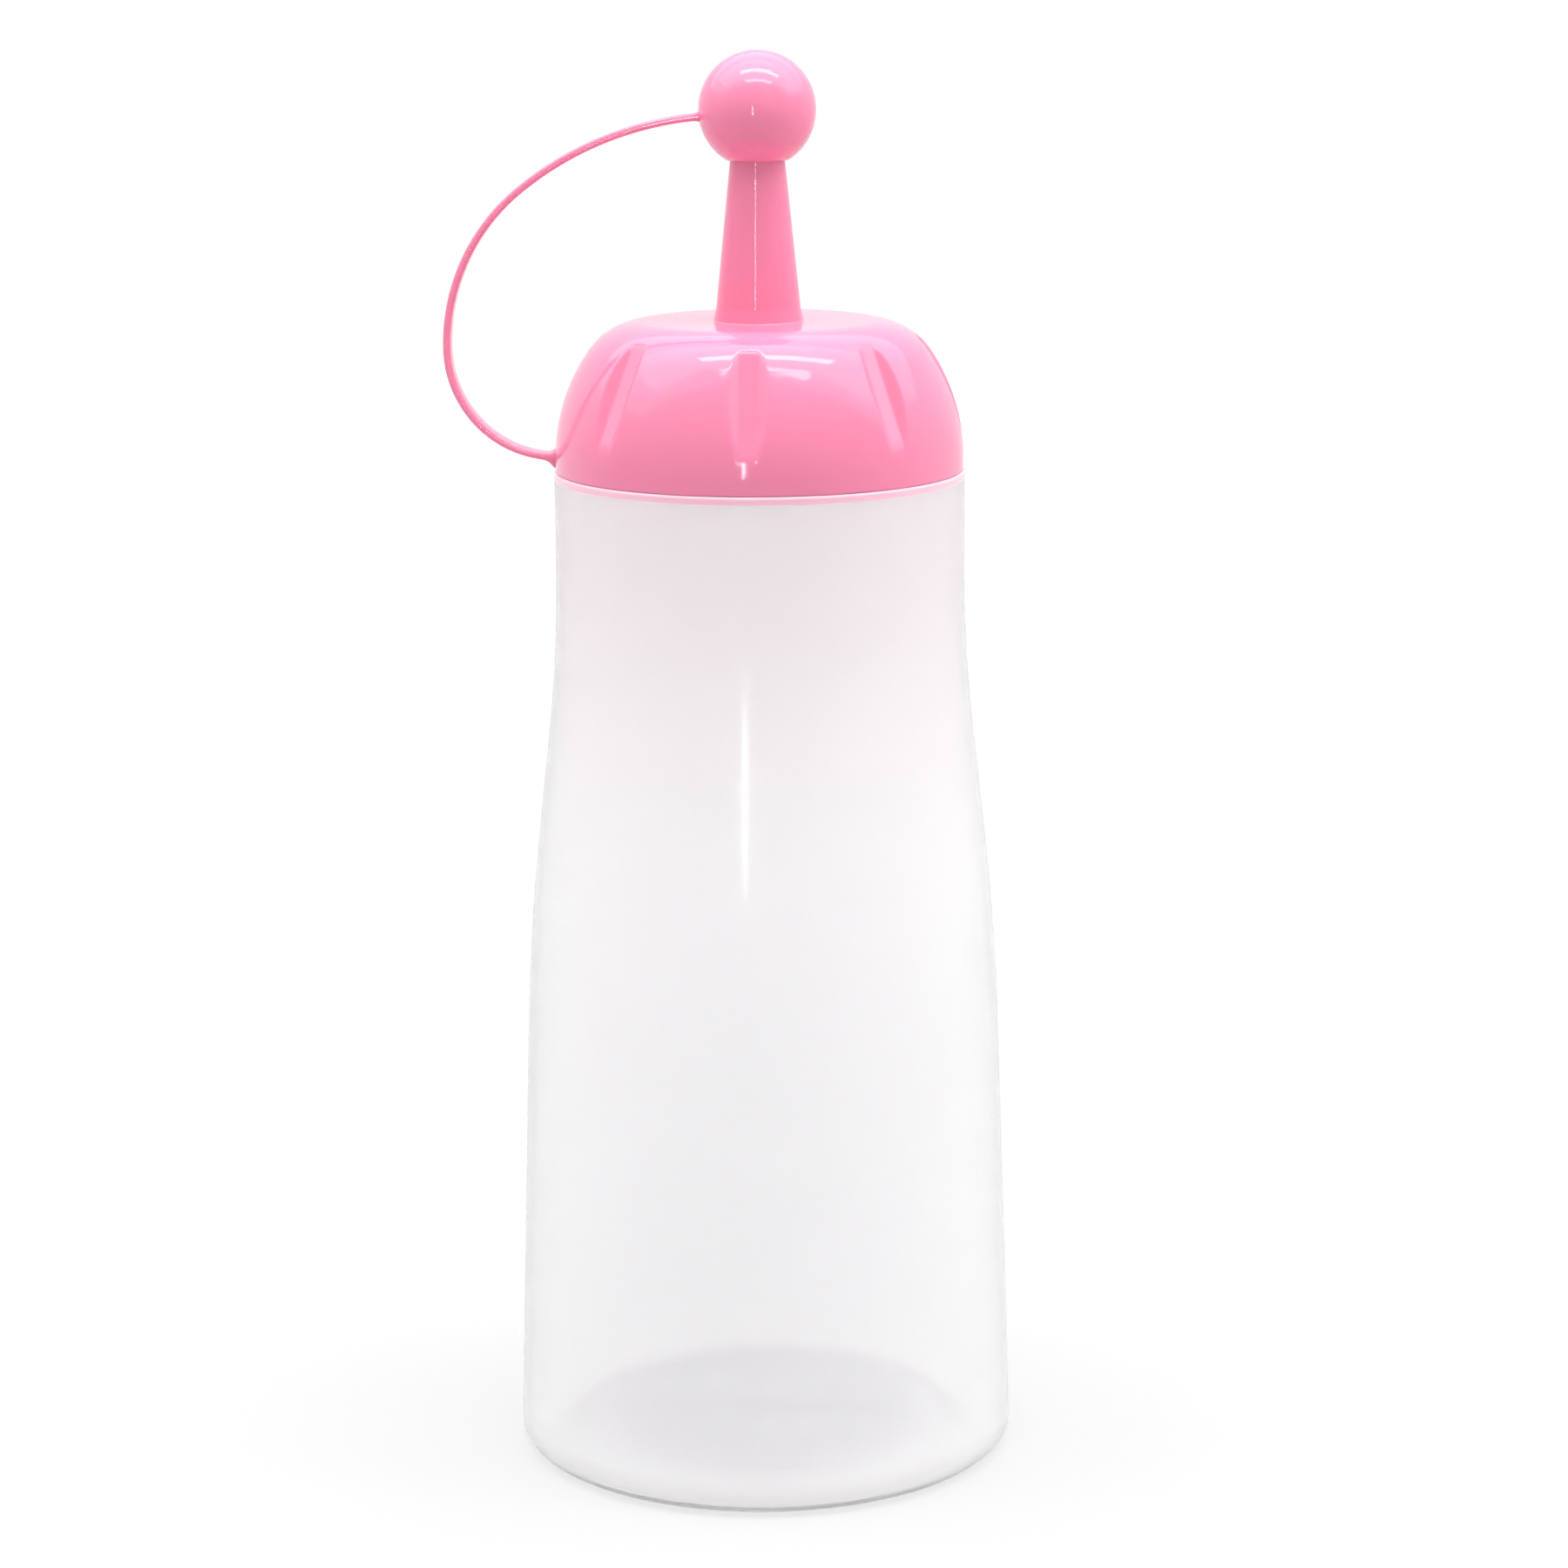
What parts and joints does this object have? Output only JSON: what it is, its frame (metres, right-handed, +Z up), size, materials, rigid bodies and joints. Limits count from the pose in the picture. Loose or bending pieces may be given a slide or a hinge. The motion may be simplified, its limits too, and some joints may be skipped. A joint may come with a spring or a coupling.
{
  "type": "condiment squeeze bottle",
  "caption": "Milky flared squeeze bottle with a fluted dome screw cap, a tapered spout, and a ball tip cap that a thin arched strap ties to the dome.",
  "frame": {"origin": "centre of the standing ring, in the plane that the bottle stands on", "axes": "+Z up along the bottle's axis to the spout, -X towards the arch of the tether strap, -Y towards the front"},
  "size_m": [0.0753, 0.0674, 0.1886],
  "materials": {
    "bottle_plastic": "satin, translucent milky polyethylene",
    "seal_rubber": "soft satin",
    "cap_plastic": "glossy pink moulding"
  },
  "bodies": {
    "bottle": {"bottle": "bottle_plastic"},
    "seal_ring": {"seal_ring": "seal_rubber"},
    "screw_cap": {"screw_cap": "cap_plastic", "tether_strap": "cap_plastic"},
    "tip_cap": {"tip_cap": "cap_plastic"}
  },
  "joints": [
    {"name": "cap_lift", "type": "slide", "parent": "bottle", "child": "seal_ring", "axis": [0, 0, 1], "range_m": [0, 0.011]},
    {"name": "cap_turn", "type": "hinge", "parent": "seal_ring", "child": "screw_cap", "pos_m": [0, 0, 0.134], "axis": [0, 0, 1], "range_deg": [0, 792]},
    {"name": "tip_cap_swing", "type": "hinge", "parent": "screw_cap", "child": "tip_cap", "pos_m": [-0.022, 0, 0.1762], "axis": [0, -1, 0], "range_deg": [0, 150], "deforming": ["tether_strap"]}
  ],
  "couplings": [
    {"joint": "cap_lift", "follows": "cap_turn", "m_per_rad": 0.00079577}
  ]
}
